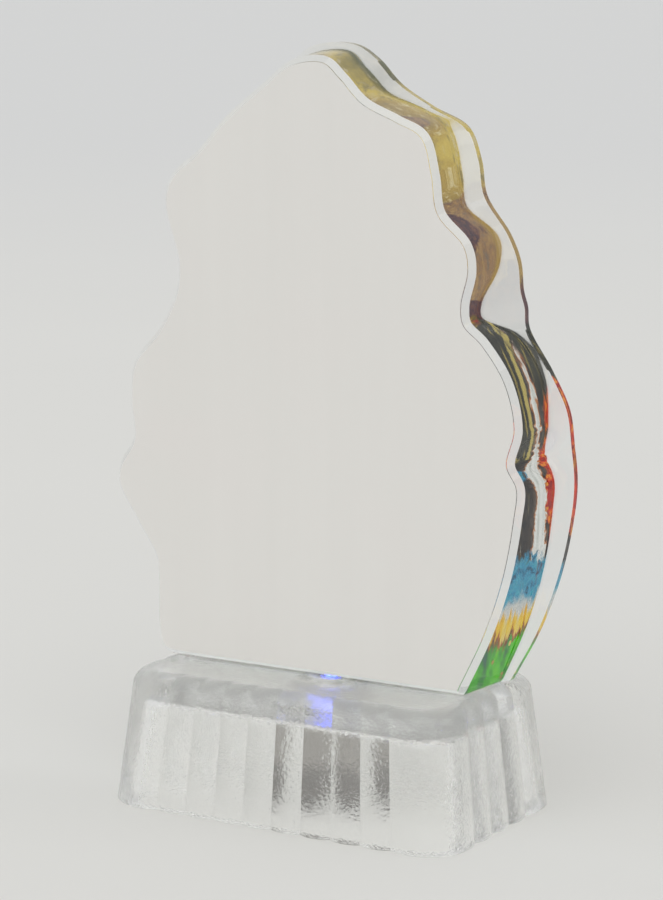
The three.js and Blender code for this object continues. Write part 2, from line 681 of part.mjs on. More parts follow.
// Plate behind the last cell, with a tail up to the board.
function positiveContact() {
  const lowX = POSITIVE_END_X;
  const highX = POSITIVE_END_X + CONTACT_THICKNESS;
  const half = CONTACT_WIDTH / 2;
  const plate = block([lowX, CELL_Y - half, CELL_Z - half], [highX, CELL_Y + half, CELL_Z + half]);
  const tailHalf = CONTACT_TAIL_WIDTH / 2;
  const tail = block([lowX, CELL_Y - tailHalf, CELL_Z], [highX, CELL_Y + tailHalf, BOARD_FOOT_Z]);
  return join(plate, tail);
}

// A small round section for wires.
function wireSection(radius, sides) {
  const points = Array.from({ length: sides }, (_, i) => {
    const angle = (i / sides) * 2 * Math.PI;
    return new THREE.Vector2(radius * Math.cos(angle), radius * Math.sin(angle));
  });
  return new THREE.Shape(points);
}

function wireAlong(path, radius, sides, steps) {
  const options = { steps, bevelEnabled: false, extrudePath: path };
  return new THREE.ExtrudeGeometry(wireSection(radius, sides), options);
}

// Conical spring that presses the cells together, wound from its wide end on the box's wall to its
// narrow end on the first cell's cap, with a tail from the wide end up to the board.
function negativeSpring() {
  const half = SPRING_WIRE / 2;
  const wallX = -UNIT_INSIDE + CONTACT_CLEARANCE + half;
  const capX = NEGATIVE_END_X - CONTACT_CLEARANCE - half;
  const points = [];
  const steps = SPRING_TURNS * SPRING_STEPS_PER_TURN;
  for (let step = 0; step <= steps; step += 1) {
    const part = step / steps;
    const angle = Math.PI / 2 + part * SPRING_TURNS * 2 * Math.PI;
    const radius = SPRING_OUTER_RADIUS + (SPRING_INNER_RADIUS - SPRING_OUTER_RADIUS) * part;
    const y = CELL_Y + radius * Math.cos(angle);
    const z = CELL_Z + radius * Math.sin(angle);
    points.push(new THREE.Vector3(wallX + (capX - wallX) * part, y, z));
  }
  const coil = new THREE.CatmullRomCurve3(points);
  const tail = block(
    [wallX - half, CELL_Y - half, CELL_Z + SPRING_OUTER_RADIUS - half],
    [wallX + half, CELL_Y + half, BOARD_FOOT_Z],
  );
  return join(wireAlong(coil, half, SPRING_SIDES, 2 * steps), tail);
}

function switchBody() {
  const [halfX, halfY] = [SWITCH_LENGTH / 2, SWITCH_WIDTH / 2];
  const topZ = FLOOR_TOP_Z + SWITCH_HEIGHT;
  const can = block([-halfX, SWITCH_Y - halfY, FLOOR_TOP_Z], [halfX, SWITCH_Y + halfY, topZ]);
  const reachX = (KNOB_LENGTH + SWITCH_TRAVEL) / 2 + KNOB_CLEARANCE;
  const reachY = KNOB_FLANGE_WIDTH / 2 + KNOB_CLEARANCE;
  const recess = block(
    [-reachX, SWITCH_Y - reachY, FLOOR_TOP_Z - OVERSHOOT],
    [reachX, SWITCH_Y + reachY, FLOOR_TOP_Z + KNOB_FLANGE_HEIGHT + 2 * KNOB_CLEARANCE],
  );
  const pins = [-1, 0, 1].map((place) => {
    const x = place * LEAD_PITCH;
    const half = PIN_SIDE / 2;
    return block(
      [x - half, SWITCH_Y - half, topZ - OVERSHOOT],
      [x + half, SWITCH_Y + half, topZ + PIN_HEIGHT],
    );
  });
  return join(cut(can, recess), ...pins);
}

// The knob in its ON place. Its flange lies inside the switch, so it can't fall through the slot.
function switchKnob() {
  const x = -SWITCH_TRAVEL / 2;
  const half = KNOB_LENGTH / 2;
  const flangeLowZ = FLOOR_TOP_Z + KNOB_CLEARANCE;
  const flangeHighZ = flangeLowZ + KNOB_FLANGE_HEIGHT;
  const stem = block(
    [x - half, SWITCH_Y - KNOB_WIDTH / 2, UNIT_FOOT_GAP - KNOB_REACH],
    [x + half, SWITCH_Y + KNOB_WIDTH / 2, flangeHighZ],
  );
  const flange = block(
    [x - half, SWITCH_Y - KNOB_FLANGE_WIDTH / 2, flangeLowZ],
    [x + half, SWITCH_Y + KNOB_FLANGE_WIDTH / 2, flangeHighZ],
  );
  return join(stem, flange);
}

// A wire from one of the switch's pins up to the board, bowed to the rear.
function switchWire(place) {
  const lowZ = FLOOR_TOP_Z + SWITCH_HEIGHT + PIN_HEIGHT + WIRE_GAP;
  const highZ = BOARD_FOOT_Z - WIRE_GAP;
  const x = place * LEAD_PITCH;
  const points = WIRE_MARKS.map((part) => {
    const bow = WIRE_BOW * Math.sin(Math.PI * part) ** 2;
    return new THREE.Vector3(x, SWITCH_Y + bow, lowZ + (highZ - lowZ) * part);
  });
  return wireAlong(new THREE.CatmullRomCurve3(points), WIRE_RADIUS, WIRE_SIDES, WIRE_STEPS);
}

// Adds a named piece to its group.
function addPiece(group, name, geometry, finish, place = [0, 0, 0]) {
  const piece = new THREE.Mesh(geometry, new THREE.MeshStandardMaterial(finish));
  piece.name = name;
  piece.position.set(...place);
  group.add(piece);
}

const frame = new THREE.Group();

const plaque = new THREE.Group();
addPiece(plaque, "glass_plaque", glassPlaque(), CLEAR_GLASS);
const printRearY = PLAQUE_REAR_Y + PRINT_THICKNESS;
addPiece(plaque, "picture_print", rearFilm(PLAQUE_REAR_Y, printRearY), PICTURE_INK);
addPiece(plaque, "backing_film", rearFilm(printRearY, printRearY + BACKING_THICKNESS), WHITE_FILM);
addPiece(plaque, "plaque_glue", plaqueGlue(), CLEAR_GLUE);
frame.add(plaque);

addPiece(frame, "base_shell", baseShell(), CLEAR_PLASTIC);

const lightUnit = new THREE.Group();
addPiece(lightUnit, "mounting_tape", mountingTape(), FOAM_TAPE);
addPiece(lightUnit, "unit_case_top", unitCaseTop(), GREY_ABS);
addPiece(lightUnit, "battery_box", batteryBox(), DARK_ABS);
addPiece(lightUnit, "battery_door", batteryDoor(), DARK_ABS);
addPiece(lightUnit, "circuit_board", circuitBoard(), BOARD_GREEN);
addPiece(lightUnit, "led_bulb", ledBulb(), BLUE_EPOXY, [0, 0, BOARD_TOP_Z]);
addPiece(lightUnit, "led_anode_lead", lead(1, LEAD_TAIL), TINNED_STEEL);
addPiece(lightUnit, "led_cathode_lead", lead(-1, LEAD_TAIL), TINNED_STEEL);
addPiece(lightUnit, "resistor", resistor(), RESISTOR_BEIGE, [0, BAY_REAR_Y, RESISTOR_Z]);
for (let i = 0; i < CELL_COUNT; i += 1) {
  const place = [POSITIVE_END_X - i * CELL_THICKNESS, CELL_Y, CELL_Z];
  addPiece(lightUnit, `button_cell_${i + 1}`, buttonCell(), CELL_STEEL, place);
}
addPiece(lightUnit, "positive_contact", positiveContact(), TINNED_STEEL);
addPiece(lightUnit, "negative_spring", negativeSpring(), TINNED_STEEL);
addPiece(lightUnit, "switch_body", switchBody(), TINNED_STEEL);
addPiece(lightUnit, "switch_knob", switchKnob(), BLACK_PLASTIC);
addPiece(lightUnit, "switch_wire_red", switchWire(-1), RED_WIRE);
addPiece(lightUnit, "switch_wire_black", switchWire(0), BLACK_WIRE);
frame.add(lightUnit);

export default frame;
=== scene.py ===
# Looks of the illuminated glass picture frame. Metres, +Z up. The picture is looked at from -Y, and
# its white backing faces +Y. Named sizes are in millimetres and named angles in degrees, unless
# their comment says otherwise. The distance of a bump is in metres.
import math

import bpy
from mathutils import Matrix, Vector, noise


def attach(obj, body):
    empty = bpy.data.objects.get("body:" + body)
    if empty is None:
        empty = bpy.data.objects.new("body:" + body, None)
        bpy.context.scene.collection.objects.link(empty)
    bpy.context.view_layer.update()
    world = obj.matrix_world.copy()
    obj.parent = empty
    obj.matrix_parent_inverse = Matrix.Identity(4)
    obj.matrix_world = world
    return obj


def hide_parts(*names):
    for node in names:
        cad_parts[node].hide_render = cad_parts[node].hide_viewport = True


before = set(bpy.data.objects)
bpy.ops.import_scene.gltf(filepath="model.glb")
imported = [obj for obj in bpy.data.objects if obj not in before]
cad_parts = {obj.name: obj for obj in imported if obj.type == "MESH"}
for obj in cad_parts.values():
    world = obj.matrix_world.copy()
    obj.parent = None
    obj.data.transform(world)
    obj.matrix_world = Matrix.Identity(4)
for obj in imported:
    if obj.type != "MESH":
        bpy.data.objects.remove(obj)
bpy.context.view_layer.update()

MM = 0.001

# Base
BASE_WIDTH, BASE_DEPTH, BASE_HEIGHT = 95, 58.4, 32.8
BASE_DRAFT = 3.7
BASE_CORNER_RADIUS = 10
BASE_TOP_RADIUS = 3.5
BASE_FOOT_CHAMFER = 0.8
BASE_WALL = 5
CEILING_Z = 25
CAVITY_CORNER_RADIUS = 6
CAVITY_TOP_RADIUS = 1.6
LONG_SIDE_FLUTES, SHORT_SIDE_FLUTES = 8, 3
LONG_SIDE_FLAT, SHORT_SIDE_FLAT = 1.1, 2.2
FLUTE_DEPTH = 1.15
FLUTE_STEPS = 16
CORNER_STEPS = 28
POCKET_RADIUS, POCKET_TOP_Z = 6.2, 29.4
DENT_DEPTH, FOOT_DENT_DEPTH, CAVITY_DENT_DEPTH = 0.07, 0.05, 0.015
TOP_RINGS, SIDE_RINGS, CHAMFER_RINGS = 8, 42, 3
CAVITY_RINGS, ROOF_ROUND_RINGS, POCKET_RINGS = 25, 6, 5
TOP_SHARES = (0.2, 0.5, 0.75, 0.9, 0.96)
RIM_SHARES = (0.3, 0.7, 1)
ROOF_SHARES = (0.25, 0.5, 0.75, 1)
POCKET_ROOF_RADII = (4.5, 2.5, 1)
BASE_SHARP_ANGLE, PLAIN_SHARP_ANGLE = 38, 30

# Plaque
PLAQUE_FOOT_Z = 32.95
PLAQUE_REAR_Y = 7
PLAQUE_FOOT_THICKNESS = 20.4
PLAQUE_TAPER = 0.035
REAR_BEVEL = 1.4
WALL_DRAFT = 0.09
RIM_DEPTH = 2.2
FRONT_CHAMFER = 0.4
CREASE_SOFTNESS = 1.2
WALL_RINGS = 30
PICTURE_FOOT_Z = 34
PICTURE_HEIGHT = 143.3
SIDE_STEPS, FOOT_STEPS = 624, 100
SLOPE_REACH = 6

# Sheets on the plaque's rear face: place of the rear and of the front side, and how far inside the
# picture's edge each ends
PICTURE_SHEET = (6.96, 6.9, 0.05)
BACKING_SHEET = (7.35, 7.02, 0.12)

# Bulb: the height over which its dark foot turns into the lit dome
BULB_DARK_Z, BULB_LIT_Z = 27.9, 28.8
BULB_STRENGTH = 28

# Viewpoint of the photograph, as angles from the front view and from level
CAMERA_TURN, CAMERA_TILT = 210.79, 9.86
CAMERA_DISTANCE = 712.4
CAMERA_TARGET_Z = 86.39
CAMERA_SENSOR, CAMERA_LENS = 36, 120

# Floor: metres for its rings, as it is far larger than the frame
FLOOR_RING_RADII = (0.3, 1, 4, 16)
FLOOR_SIDES = 96
FLOOR_GAP = 0.05

# A ray that has met more surfaces than this passes clear pieces straight
LAST_BENT_RAY = 7.5

# Light: how strong the air is at its weakest, how much more from above, and as the camera sees it
AIR_LEVEL, AIR_FROM_ABOVE, AIR_SEEN = 0.68, 0.06, 0.69
# Lamps: name, way towards the lamp, strength, and how wide it looks
SOFTBOXES = (
    ("softbox_above", (-0.4, 1.1, 1.5), 0.85, 60),
    ("softbox_side", (-1.2, -0.3, 0.8), 0.35, 40),
)

# Heights between which the sky of the picture runs through its tones
SKY_SPAN = (138, 178)
# Bands below the sky, by height above the table: where each starts to show and where it is full
FAR_HILLS, NEAR_HILLS = (144, 142.5), (128.5, 127)
WOOD, CROWNS, REEDS = (115, 112), (114, 112), (82, 80)
POND, MIST = (63.5, 62), (56, 52.5)
PETALS, STEMS, MEADOW = (52.5, 50.5), (48.2, 47.6), (46.6, 46)

# Things in the picture: how far left of its middle, seen from the front, and how high
SUN_LEFT, SUN_Z = 30, 153
BIRCH_LEFT, BIRCH_Z = 15.5, 92
FALL_LEFT, FALL_Z = 19, 93
MAPLE_LEFT, MAPLE_Z = 34, 80
MAPLE_LOBE_LEFT, MAPLE_LOBE_Z = 47, 93

# Edge of the picture, then edge of the glass's front face: x and height of each, as percentages of
# the picture's height. Last comes how far down the side wall stays steep, as a percentage.
PICTURE_EDGE = [
    (26.4, 0, 28.2, -0.8, 89), (30.1, 0.6, 32.5, 0.3, 86), (31.1, 3.7, 33.8, 3.2, 88),
    (31.2, 9.8, 34.2, 9.4, 82), (31.5, 15.8, 35, 15.2, 72), (35.3, 21.9, 38.4, 20.8, 76),
    (39.1, 28.3, 42.1, 28.1, 80), (38.7, 31.2, 41.9, 31.4, 75), (35.9, 36, 39.6, 36.6, 65),
    (36.4, 42.6, 39.5, 42.9, 76), (35.6, 48.9, 38.4, 49.8, 79), (30.6, 54.7, 33.6, 56.3, 68),
    (27.1, 61.2, 30.9, 61.9, 58), (26.5, 66.5, 30.6, 66.6, 52), (29.1, 76.6, 32.1, 77.1, 72),
    (27.8, 80.7, 30.5, 82, 72), (22.5, 85, 25.1, 87.2, 62), (17.3, 90.4, 19.3, 92.6, 71),
    (10, 96.1, 11.9, 98.7, 64), (4.7, 99.9, 5.9, 102.8, 65), (-1.3, 100.5, -1.9, 103.1, 77),
    (-4.4, 98.1, -6, 100.8, 65), (-8.5, 94.2, -10, 96.9, 68), (-14.6, 91.5, -15.8, 93.5, 86),
    (-19.4, 89.1, -22.3, 90.3, 67), (-21.3, 83.3, -24.5, 85.2, 68),
    (-22.4, 77.2, -25.5, 79.4, 64), (-27.2, 72.2, -29.7, 73.4, 79), (-28, 68.4, -31.5, 69.1, 62),
    (-26.8, 62.9, -32, 64.3, 29), (-27.2, 59.8, -32.7, 61.8, 30), (-30.5, 56.8, -33, 58.4, 77),
    (-34.7, 50.9, -37.1, 51.7, 87), (-36.5, 43.6, -40.2, 45.5, 74), (-35.2, 37.8, -41, 39.8, 92),
    (-37, 34.2, -41.5, 34.3, 86), (-36.6, 29.3, -41.1, 29.2, 88), (-34.8, 19.7, -38.8, 18.8, 90),
    (-31.6, 10.2, -34.9, 8.7, 92), (-26.7, 0, -29.4, -1.1, 94),
]


def maths(operation, *values):
    """A Math node over the values, of which at least one is a Flow."""
    tree = next(value.tree for value in values if isinstance(value, Flow))
    made = tree.nodes.new("ShaderNodeMath")
    made.operation = operation
    for socket, value in zip(made.inputs, values):
        if isinstance(value, Flow):
            tree.links.new(value.socket, socket)
        else:
            socket.default_value = value
    return Flow(tree, made.outputs[0])


class Flow:
    """A value on its way through a shader. Sums and products of it add Math nodes."""

    def __init__(self, tree, socket):
        self.tree, self.socket = tree, socket

    def __add__(self, other):
        return maths("ADD", self, other)

    def __radd__(self, other):
        return maths("ADD", other, self)

    def __sub__(self, other):
        return maths("SUBTRACT", self, other)

    def __rsub__(self, other):
        return maths("SUBTRACT", other, self)

    def __mul__(self, other):
        return maths("MULTIPLY", self, other)

    def __rmul__(self, other):
        return maths("MULTIPLY", other, self)

    def __truediv__(self, other):
        return maths("DIVIDE", self, other)

    def __rtruediv__(self, other):
        return maths("DIVIDE", other, self)

    def __pow__(self, other):
        return maths("POWER", self, other)


class Finish:
    """A node tree that a finish is written into."""

    def __init__(self, tree):
        self.tree = tree
        tree.nodes.clear()

    def node(self, kind, settings=None, sockets=None, out=0):
        made = self.tree.nodes.new(kind)
        for name, value in (settings or {}).items():
            if name == "stops":
                self.set_stops(made.color_ramp, value)
            else:
                setattr(made, name, value)
        for name, value in (sockets or {}).items():
            if isinstance(value, Flow):
                self.tree.links.new(value.socket, made.inputs[name])
            else:
                made.inputs[name].default_value = value
        if isinstance(out, tuple):
            return [Flow(self.tree, made.outputs[name]) for name in out]
        return Flow(self.tree, made.outputs[out])

    def set_stops(self, ramp, stops):
        while len(ramp.elements) < len(stops):
            ramp.elements.new(1)
        for element, (place, colour) in zip(ramp.elements, stops):
            element.position = place
            element.color = (*colour, 1)

    def place(self):
        """Position on the piece, in millimetres."""
        spot = self.node("ShaderNodeTexCoord", out="Object")
        return self.node("ShaderNodeVectorMath", {"operation": "SCALE"}, {0: spot, "Scale": 1000})

    def stretched(self, vector, x, y, z):
        sockets = {0: vector, 1: (x, y, z)}
        return self.node("ShaderNodeVectorMath", {"operation": "MULTIPLY"}, sockets)

    def axes(self, vector):
        return self.node("ShaderNodeSeparateXYZ", {}, {0: vector}, out=("X", "Y", "Z"))

    def grain(self, vector, scale, detail=2, roughness=0.5, distortion=0):
        sockets = {
            "Vector": vector,
            "Scale": scale,
            "Detail": detail,
            "Roughness": roughness,
            "Distortion": distortion,
        }
        return self.node("ShaderNodeTexNoise", {}, sockets)

    def rise(self, value, low, high):
        sockets = {"Value": value, "From Min": low, "From Max": high}
        return self.node("ShaderNodeMapRange", {"interpolation_type": "SMOOTHSTEP"}, sockets)

    def mix(self, factor, first, second, mode="MIX"):
        settings = {"data_type": "RGBA", "blend_type": mode}
        return self.node("ShaderNodeMix", settings, {0: factor, 6: first, 7: second}, out=2)

    def bump(self, height, strength, distance):
        sockets = {"Height": height, "Strength": strength, "Distance": distance}
        return self.node("ShaderNodeBump", {}, sockets)

    def surface(self, **sockets):
        named = {name.replace("_", " "): value for name, value in sockets.items()}
        return self.node("ShaderNodeBsdfPrincipled", {}, named)

    def show(self, shader):
        self.node("ShaderNodeOutputMaterial", {}, {"Surface": shader}, out=())

    def clear(self, shader, tint):
        """The shader for what the eye meets. Lamp light and scattered light pass straight, and so
        does what has already been bent and reflected many times."""
        shadow, scattered, depth = self.node(
            "ShaderNodeLightPath", out=("Is Shadow Ray", "Is Diffuse Ray", "Ray Depth")
        )
        straight = maths("MAXIMUM", shadow, scattered)
        straight = maths("MAXIMUM", straight, maths("GREATER_THAN", depth, LAST_BENT_RAY))
        through = self.node("ShaderNodeBsdfTransparent", {}, {"Color": (*tint, 1)})
        sockets = {0: straight, 1: shader, 2: through}
        self.show(self.node("ShaderNodeMixShader", {}, sockets))


def finish(name):
    material = bpy.data.materials.new(name)
    material.use_nodes = True
    return material, Finish(material.node_tree)


def polished_glass():
    material, f = finish("polished_glass")
    smudge = f.rise(f.grain(f.place(), 0.05, 3, 0.6), 0.5, 0.8)
    shader = f.surface(
        Base_Color=(0.992, 0.998, 0.995, 1),
        Roughness=smudge * 0.01,
        IOR=1.5,
        Transmission_Weight=1,
    )
    f.clear(shader, (0.96, 0.97, 0.965))
    return material


def hammered_plastic():
    material, f = finish("hammered_plastic")
    place = f.place()
    ripple = f.grain(f.stretched(place, 1, 1, 1.1), 1.3, 2, 0.5)
    shader = f.surface(
        Base_Color=(0.985, 0.986, 0.978, 1),
        Roughness=f.grain(place, 0.3) * 0.06 + 0.07,
        IOR=1.49,
        Transmission_Weight=0.91,
        Normal=f.bump(ripple, 0.6, 0.0003),
    )
    f.clear(shader, (0.98, 0.98, 0.975))
    return material


def cured_glue():
    material, f = finish("cured_glue")
    place = f.place()
    bubbles = f.rise(f.grain(place, 1.2, 2), 0.62, 0.7)
    shader = f.surface(
        Base_Color=(0.97, 0.97, 0.96, 1),
        Roughness=bubbles * 0.4 + 0.08,
        IOR=1.5,
        Transmission_Weight=1,
    )
    f.clear(shader, (0.95, 0.95, 0.94))
    return material


def printed_picture():
    """A made-up landscape: from the foot up a meadow, pond, reeds, autumn wood, hills and sky."""
    material, f = finish("printed_picture")
    place = f.place()
    x, _, z = f.axes(place)
    wander = f.node("ShaderNodeTexNoise", {}, {"Vector": place, "Scale": 0.25, "Detail": 4}, out=1)
    moved = {0: wander, 1: (7, 7, 7), 2: place}
    bent = f.node("ShaderNodeVectorMath", {"operation": "MULTIPLY_ADD"}, moved)
    wash = f.grain(place, 0.06, 4, 0.6)
    soft = f.grain(place, 0.14, 4, 0.6)
    fine = f.grain(place, 0.5, 5, 0.7)
    upright = f.grain(f.stretched(place, 1, 1, 0.12), 0.55, 4, 0.65)
    level = f.grain(f.stretched(bent, 0.15, 1, 1), 0.4, 4, 0.6)
    height = z + (wash - 0.5) * 5

    def tones(value, *stops):
        return f.node("ShaderNodeValToRGB", {"stops": stops}, {0: value})

    def dabs(vector, scale):
        sockets = {"Vector": vector, "Scale": scale}
        off, colour = f.node("ShaderNodeTexVoronoi", {}, sockets, out=("Distance", "Color"))
        return off, f.axes(colour)[0]

    _, stroke = dabs(f.stretched(bent, 1, 1, 0.35), 0.9)
    crown_off, crown_tone = dabs(f.stretched(bent, 1, 1, 0.8), 0.11)
    leaf_off, leaf_tone = dabs(bent, 0.75)

    # Sky with banks of cloud and the sun low in it
    sky = tones(
        f.rise(height + (level - 0.5) * 16, *SKY_SPAN),
        (0, (0.4, 0.27, 0.07)),
        (0.08, (0.54, 0.37, 0.09)),
        (0.24, (0.76, 0.58, 0.14)),
        (0.45, (0.4, 0.32, 0.1)),
        (0.7, (0.2, 0.19, 0.09)),
        (0.85, (0.2, 0.22, 0.18)),
        (1, (0.24, 0.18, 0.03)),
    )
    cloud = f.rise(level * 0.7 + soft * 0.3, 0.51, 0.62)
    lit = tones(soft, (0.35, (0.56, 0.46, 0.36)), (0.65, (0.9, 0.77, 0.42)))
    sky = f.mix(cloud * 0.7, sky, lit)
    sky = f.mix(f.rise(soft, 0.48, 0.34) * 0.65, sky, (0.19, 0.18, 0.12, 1))
    sun = (x + SUN_LEFT) ** 2 + (z - SUN_Z) ** 2
    colour = f.mix(f.rise(sun, 330, 20) * 0.9, sky, (0.96, 0.76, 0.28, 1))

    # Hills, the farther one in the evening light
    ridge = height + maths("SINE", x * 0.07 + 0.8) * 5
    far = tones(fine, (0.3, (0.2, 0.16, 0.12)), (0.5, (0.36, 0.2, 0.09)), (0.7, (0.56, 0.37, 0.13)))
    far = f.mix(f.rise(x + (soft - 0.5) * 16, -10, -24) * 0.7, far, (0.55, 0.37, 0.09, 1))
    far = f.mix(f.rise(soft, 0.54, 0.62) * 0.6, far, (0.14, 0.07, 0.06, 1))
    colour = f.mix(f.rise(ridge + (soft - 0.5) * 8, *FAR_HILLS), colour, far)
    slope = height - maths("SINE", x * 0.085 - 0.6) * 6 + (soft - 0.5) * 14
    near = tones(
        fine * 0.6 + soft * 0.4,
        (0.36, (0.04, 0.028, 0.045)),
        (0.5, (0.11, 0.04, 0.05)),
        (0.62, (0.24, 0.09, 0.06)),
    )
    lit_slope = f.rise(slope, 118, 127) * f.rise(fine, 0.45, 0.6)
    near = f.mix(lit_slope * 0.6, near, (0.27, 0.13, 0.06, 1))
    colour = f.mix(f.rise(slope, *NEAR_HILLS), colour, near)

    # Wood: lit trunks in the dark on one side, autumn crowns on the other
    treetops = height + (upright - 0.5) * 20 + (soft - 0.5) * 12
    wood = tones(
        fine,
        (0.35, (0.01, 0.012, 0.008)),
        (0.6, (0.045, 0.045, 0.03)),
        (0.8, (0.13, 0.12, 0.05)),
    )
    trunks = f.rise(upright, 0.57, 0.63) * f.rise(fine, 0.3, 0.5)
    bark = tones(stroke, (0, (0.24, 0.18, 0.03)), (1, (0.6, 0.47, 0.13)))
    wood = f.mix(trunks * 0.85, wood, bark)
    birch = maths("ABSOLUTE", x + BIRCH_LEFT + (fine - 0.5) * 4 + (z - BIRCH_Z) * 0.12)
    wood = f.mix(f.rise(birch, 1.5, 0.9), wood, (0.56, 0.45, 0.13, 1))
    colour = f.mix(f.rise(treetops, *WOOD), colour, wood)

    crowns = tones(
        crown_tone * 0.75 + leaf_tone * 0.25,
        (0.1, (0.04, 0.06, 0.012)),
        (0.3, (0.3, 0.2, 0.02)),
        (0.45, (0.72, 0.42, 0.03)),
        (0.6, (0.78, 0.14, 0.01)),
        (0.8, (0.5, 0.02, 0.005)),
    )
    shade = f.rise(crown_off + (fine - 0.5) * 0.5, 0.3, 0.75)
    crowns = f.mix(shade * 0.85, crowns, (0.03, 0.022, 0.012, 1))
    crowns = f.mix(f.rise(leaf_off, 0.3, 0.7) * 0.5, crowns, (0.1, 0.02, 0.01, 1))
    lit_side = f.rise(x + (soft - 0.5) * 14, -9, -5) * f.rise(height + (soft - 0.5) * 12, 84, 88)
    colour = f.mix(lit_side * f.rise(treetops, *CROWNS), colour, crowns)

    # Bank of reeds, the red tree on it and the fall beside the tree
    reeds = tones(
        fine,
        (0.35, (0.008, 0.01, 0.016)),
        (0.6, (0.05, 0.04, 0.035)),
        (0.8, (0.28, 0.22, 0.09)),
    )
    lit_reeds = tones(
        stroke,
        (0, (0.24, 0.17, 0.035)),
        (0.8, (0.3, 0.26, 0.12)),
        (1, (0.4, 0.42, 0.4)),
    )
    reeds = f.mix(f.rise(upright, 0.57, 0.62) * 0.85, reeds, lit_reeds)
    colour = f.mix(f.rise(height + (upright - 0.5) * 14, *REEDS), colour, reeds)
    drop = FALL_Z - z
    off_middle = x + FALL_LEFT + (level - 0.5) * 5 + (fine - 0.5) * 4
    middle = maths("ABSOLUTE", off_middle) - drop * 0.1
    falling = f.rise(height + (fine - 0.5) * 10, 97, 92)
    rocks = tones(fine, (0.4, (0.014, 0.013, 0.016)), (0.65, (0.13, 0.1, 0.08)))
    colour = f.mix(f.rise(middle + (soft - 0.5) * 9, 3.6, 2.6) * falling, colour, rocks)
    ragged = (soft - 0.5) * 13 + (fine - 0.5) * 8
    across = x + MAPLE_LEFT + ragged
    up = z - MAPLE_Z + (wash - 0.5) * 14 + ragged
    crown = across * across / 190 + up * up / 230
    across = x + MAPLE_LOBE_LEFT + ragged
    up = z - MAPLE_LOBE_Z + ragged
    crown = maths("MINIMUM", crown, across * across / 90 + up * up / 60)
    maple = tones(
        leaf_tone,
        (0, (0.3, 0.006, 0.003)),
        (0.35, (0.7, 0.015, 0.002)),
        (0.7, (0.84, 0.06, 0.004)),
        (0.95, (0.95, 0.34, 0.02)),
    )
    maple = f.mix(f.rise(soft, 0.5, 0.38) * 0.7, maple, (0.12, 0.01, 0.006, 1))
    colour = f.mix(f.rise(crown, 1, 0.88), colour, maple)
    colour = f.mix(f.rise(middle, 1.8, 1.2) * falling, colour, (0.62, 0.2, 0.03, 1))
    foam = tones(upright, (0.35, (0.66, 0.68, 0.64)), (0.55, (0.92, 0.92, 0.88)))
    colour = f.mix(f.rise(middle, 1.3, 0.8) * falling, colour, foam)

    # Pond with what it mirrors, and mist over its near shore
    water = tones(
        level,
        (0.36, (0.008, 0.05, 0.1)),
        (0.47, (0.03, 0.3, 0.5)),
        (0.6, (0.06, 0.42, 0.56)),
    )
    mirrored = f.rise(upright, 0.54, 0.62) * f.rise(height, 55, 62)
    mirror = tones(stroke, (0, (0.02, 0.03, 0.05)), (1, (0.34, 0.05, 0.02)))
    water = f.mix(mirrored * 0.75, water, mirror)
    colour = f.mix(f.rise(height + (level - 0.5) * 12, *POND), colour, water)
    haze = f.rise(height + (soft - 0.5) * 12, *MIST)
    mist = tones(fine, (0.3, (0.58, 0.61, 0.6)), (0.7, (0.8, 0.79, 0.72)))
    colour = f.mix(haze, colour, mist)

    # Meadow behind a row of yellow flowers on red-brown stems
    flowers = height + (upright - 0.5) * 13
    petals = tones(
        upright,
        (0.35, (0.9, 0.46, 0.01)),
        (0.5, (1, 0.68, 0.02)),
        (0.65, (0.9, 0.74, 0.25)),
    )
    colour = f.mix(f.rise(flowers, *PETALS), colour, petals)
    stems = tones(fine, (0.35, (0.12, 0.02, 0.004)), (0.65, (0.6, 0.17, 0.03)))
    colour = f.mix(f.rise(flowers, *STEMS), colour, stems)
    sweep = f.grain(f.stretched(place, 1, 1, 0.4), 0.3, 3, 0.6)
    blades = tones(
        sweep * 0.6 + upright * 0.4,
        (0.4, (0.012, 0.1, 0.09)),
        (0.45, (0.04, 0.3, 0.03)),
        (0.52, (0.06, 0.6, 0.001)),
        (0.62, (0.17, 0.76, 0.002)),
    )
    blades = f.mix(f.rise(fine, 0.56, 0.64) * 0.5, blades, (0.03, 0.2, 0.03, 1))
    spot_off, spot_tone = dabs(place, 0.4)
    spots = f.rise(spot_off, 0.3, 0.22) * f.rise(spot_tone, 0.7, 0.72)
    blooms = tones(spot_tone, (0.8, (0.95, 0.75, 0.2)), (0.9, (0.85, 0.2, 0.1)))
    blades = f.mix(spots, blades, blooms)
    colour = f.mix(f.rise(flowers, *MEADOW), colour, blades)
    f.show(f.surface(Base_Color=colour, Roughness=0.45 + fine * 0.1, Specular_IOR_Level=0))
    return material


def white_vinyl():
    material, f = finish("white_vinyl")
    place = f.place()
    streaks = f.grain(f.stretched(place, 1, 1, 0.05), 0.12, 3, 0.55)
    cloud = f.grain(place, 0.03, 3, 0.5)
    tone = f.mix(streaks, (0.775, 0.758, 0.728, 1), (0.81, 0.792, 0.762, 1))
    tone = f.mix(f.rise(cloud, 0.45, 0.7) * 0.25, tone, (0.81, 0.765, 0.74, 1))
    grainy = f.grain(place, 3, 2)
    f.show(f.surface(
        Base_Color=tone,
        Roughness=grainy * 0.12 + 0.36,
        Normal=f.bump(grainy, 0.04, 0.0001),
    ))
    return material


